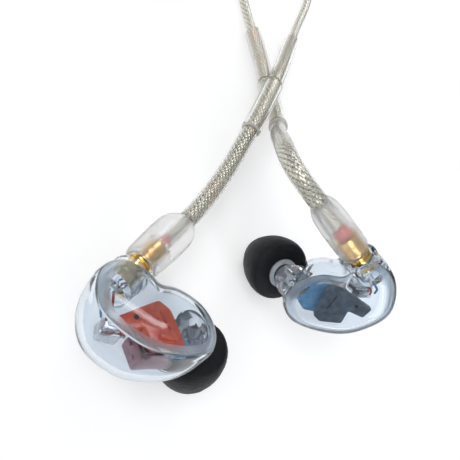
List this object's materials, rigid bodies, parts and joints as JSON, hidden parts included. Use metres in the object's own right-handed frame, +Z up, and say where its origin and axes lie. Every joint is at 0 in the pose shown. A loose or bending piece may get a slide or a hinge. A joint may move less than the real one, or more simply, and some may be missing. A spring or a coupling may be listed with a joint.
{
  "type": "in ear monitors",
  "caption": "Pair of clear-shelled in-ear monitors on foam tips, with swivelling gold connectors, formed ear wires and a detachable coiled cable with a mini plug.",
  "frame": {"origin": "on the surface the pair stands on, under the middle of the two earpieces' box", "axes": "+X from the right (red) earpiece to the left (slate) one, +Y away from the earpieces along the cable, +Z up"},
  "size_m": [0.0871, 0.1472, 0.0316],
  "materials": {
    "clear_shell": "clear moulded plastic, polished, faint cool tint",
    "frosted_moulding": "soft clear moulding with a light frost",
    "clear_sleeve": "clear shrunk sleeve",
    "cable_jacket": "clear jacket over silvery braided strands",
    "gold_plate": "bright gold plating",
    "white_insulator": "satin",
    "foam": "matt fine-pored memory foam",
    "tip_core": "satin grey tube",
    "driver_can": "mauve brown anodised can",
    "steel": "drawn steel",
    "carrier_red": "translucent orange red moulding",
    "carrier_slate": "slate grey moulding",
    "board": "light blue board",
    "enamel_red": "enamelled strand",
    "enamel_blue": "enamelled strand",
    "tie_strap": "black moulded strap"
  },
  "bodies": {
    "cable": {"right_connector_body": "frosted_moulding", "right_connector_barrel": "gold_plate", "right_connector_pin": "gold_plate", "right_formed_wire": "cable_jacket", "right_lower_sleeve": "clear_sleeve", "right_upper_sleeve": "clear_sleeve", "right_branch": "cable_jacket", "right_tail": "cable_jacket", "left_connector_body": "frosted_moulding", "left_connector_barrel": "gold_plate", "left_connector_pin": "gold_plate", "left_formed_wire": "cable_jacket", "left_lower_sleeve": "clear_sleeve", "left_upper_sleeve": "clear_sleeve", "left_branch": "cable_jacket", "left_tail": "cable_jacket", "branch_coil": "cable_jacket", "branch_coil_tie": "tie_strap", "y_splitter": "frosted_moulding", "main_lead": "cable_jacket", "main_coil": "cable_jacket", "main_coil_tie": "tie_strap", "plug_lead": "cable_jacket", "plug_relief": "frosted_moulding", "plug_body": "frosted_moulding", "plug_sleeve": "gold_plate", "plug_ring": "gold_plate", "plug_insulation": "tie_strap", "plug_tip": "gold_plate"},
    "right_ring": {"right_retaining_ring": "steel"},
    "right_earpiece": {"right_shell": "clear_shell", "right_faceplate": "clear_shell", "right_jack_barrel": "gold_plate", "right_jack_insulator": "white_insulator", "right_jack_contact": "gold_plate", "right_woofer_driver": "driver_can", "right_tweeter_driver": "steel", "right_driver_carrier": "carrier_red", "right_crossover_board": "board", "right_sound_damper": "steel", "right_lead_wire_plus": "enamel_red", "right_lead_wire_minus": "enamel_blue"},
    "right_tip": {"right_tip_core": "tip_core", "right_foam_tip": "foam"},
    "left_ring": {"left_retaining_ring": "steel"},
    "left_earpiece": {"left_shell": "clear_shell", "left_faceplate": "clear_shell", "left_jack_barrel": "gold_plate", "left_jack_insulator": "white_insulator", "left_jack_contact": "gold_plate", "left_woofer_driver": "driver_can", "left_tweeter_driver": "steel", "left_driver_carrier": "carrier_slate", "left_crossover_board": "board", "left_sound_damper": "steel", "left_lead_wire_plus": "enamel_red", "left_lead_wire_minus": "enamel_blue"},
    "left_tip": {"left_tip_core": "tip_core", "left_foam_tip": "foam"},
    "cinch": {"cable_cinch": "frosted_moulding"}
  },
  "joints": [
    {"name": "right_unplug", "type": "slide", "parent": "cable", "child": "right_ring", "axis": [-0.8165, -0.5599, 0.1406], "range_m": [0, 0.006]},
    {"name": "right_swivel", "type": "hinge", "parent": "right_ring", "child": "right_earpiece", "pos_m": [-0.0195, 0.00812, 0.01086], "axis": [0.8165, 0.5599, -0.1406], "continuous": true},
    {"name": "right_tip_slide", "type": "slide", "parent": "right_earpiece", "child": "right_tip", "axis": [0.313, -0.5848, -0.7483], "range_m": [0, 0.0095]},
    {"name": "left_unplug", "type": "slide", "parent": "cable", "child": "left_ring", "axis": [0.7823, -0.5958, -0.1818], "range_m": [0, 0.006]},
    {"name": "left_swivel", "type": "hinge", "parent": "left_ring", "child": "left_earpiece", "pos_m": [0.0189, 0.00643, 0.02637], "axis": [-0.7823, 0.5958, 0.1818], "continuous": true},
    {"name": "left_tip_slide", "type": "slide", "parent": "left_earpiece", "child": "left_tip", "axis": [0.1943, 0.5573, -0.8073], "range_m": [0, 0.0095]},
    {"name": "cinch_slide", "type": "slide", "parent": "cable", "child": "cinch", "axis": [-1, 0, 0], "range_m": [0, 0.007]}
  ]
}
